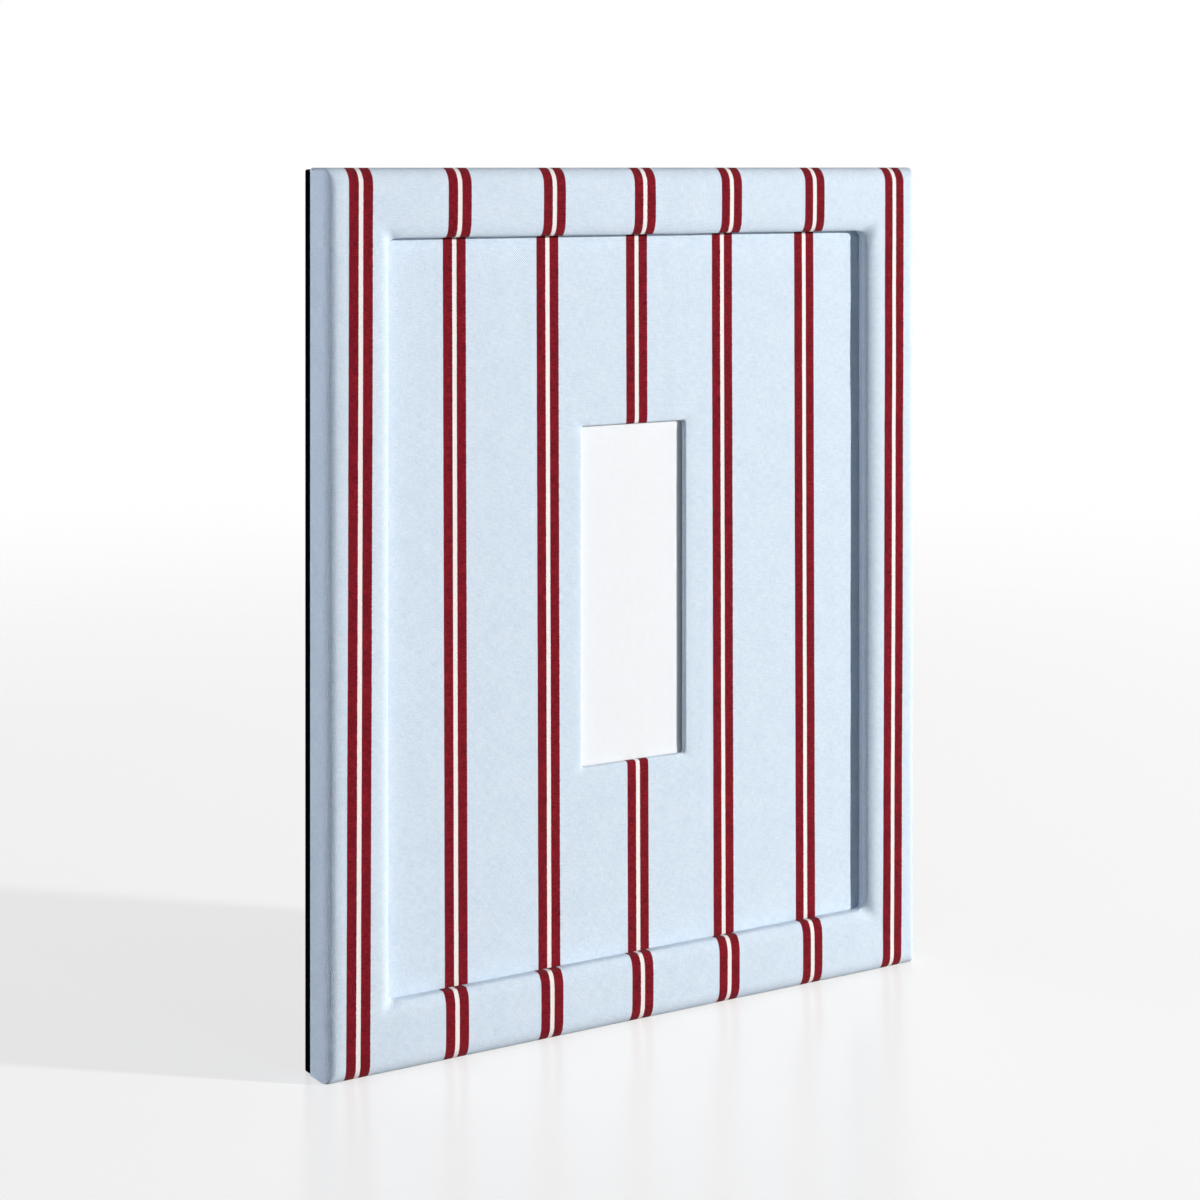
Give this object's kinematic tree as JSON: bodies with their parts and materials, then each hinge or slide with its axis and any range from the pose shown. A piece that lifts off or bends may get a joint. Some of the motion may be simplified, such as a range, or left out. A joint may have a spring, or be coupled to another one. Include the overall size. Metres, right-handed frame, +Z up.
{
  "type": "picture frame",
  "caption": "Upright padded picture frame in striped cloth, with a recessed cloth mat, a tall narrow window, a flocked back closed by turn buttons and a fold-out easel leg.",
  "frame": {"origin": "on the floor, under the middle of the frame's width and depth", "axes": "+X to the right seen from the front, +Y to the back, +Z up"},
  "size_m": [0.24, 0.0228, 0.291],
  "materials": {
    "cloth": "woven, matte, striped",
    "wood": "bare",
    "foam": "soft foam and wadding",
    "board": "grey board",
    "white_card": "matte",
    "clear_sheet": "clear",
    "black_flock": "flocked black",
    "steel": "plated"
  },
  "bodies": {
    "frame": {"rail_cloth": "cloth", "mat_cloth": "cloth", "top_rail": "wood", "bottom_rail": "wood", "left_rail": "wood", "right_rail": "wood", "rail_padding": "foam", "mat_padding": "foam", "mat_board": "board", "backing_card": "board", "insert_card": "white_card", "pane": "clear_sheet", "back_ring": "black_flock", "back_door": "black_flock", "corner_nail_top_left": "steel", "corner_nail_top_right": "steel", "corner_nail_bottom_left": "steel", "corner_nail_bottom_right": "steel", "button_screw_left_1": "steel", "button_screw_left_2": "steel", "button_screw_left_3": "steel", "button_screw_right_1": "steel", "button_screw_right_2": "steel", "button_screw_right_3": "steel", "hinge_leaf": "steel", "hinge_pin": "steel", "leaf_rivet_left": "steel", "leaf_rivet_right": "steel"},
    "leg": {"leg_board": "black_flock", "leg_leaf": "steel", "leg_rivet_left": "steel", "leg_rivet_right": "steel"},
    "turn_button_left_1": {"turn_button_left_1": "steel"},
    "turn_button_left_2": {"turn_button_left_2": "steel"},
    "turn_button_left_3": {"turn_button_left_3": "steel"},
    "turn_button_right_1": {"turn_button_right_1": "steel"},
    "turn_button_right_2": {"turn_button_right_2": "steel"},
    "turn_button_right_3": {"turn_button_right_3": "steel"}
  },
  "joints": [
    {"name": "leg_hinge", "type": "hinge", "parent": "frame", "child": "leg", "pos_m": [0, 0.0108, 0.195], "axis": [1, 0, 0], "range_deg": [0, 28]},
    {"name": "turn_left_1", "type": "hinge", "parent": "frame", "child": "turn_button_left_1", "pos_m": [-0.10925, 0.0094, 0.2295], "axis": [0, 1, 0], "range_deg": [-90, 90]},
    {"name": "turn_left_2", "type": "hinge", "parent": "frame", "child": "turn_button_left_2", "pos_m": [-0.10925, 0.0094, 0.1455], "axis": [0, 1, 0], "range_deg": [-90, 90]},
    {"name": "turn_left_3", "type": "hinge", "parent": "frame", "child": "turn_button_left_3", "pos_m": [-0.10925, 0.0094, 0.0615], "axis": [0, 1, 0], "range_deg": [-90, 90]},
    {"name": "turn_right_1", "type": "hinge", "parent": "frame", "child": "turn_button_right_1", "pos_m": [0.10925, 0.0094, 0.2295], "axis": [0, 1, 0], "range_deg": [-90, 90]},
    {"name": "turn_right_2", "type": "hinge", "parent": "frame", "child": "turn_button_right_2", "pos_m": [0.10925, 0.0094, 0.1455], "axis": [0, 1, 0], "range_deg": [-90, 90]},
    {"name": "turn_right_3", "type": "hinge", "parent": "frame", "child": "turn_button_right_3", "pos_m": [0.10925, 0.0094, 0.0615], "axis": [0, 1, 0], "range_deg": [-90, 90]}
  ]
}
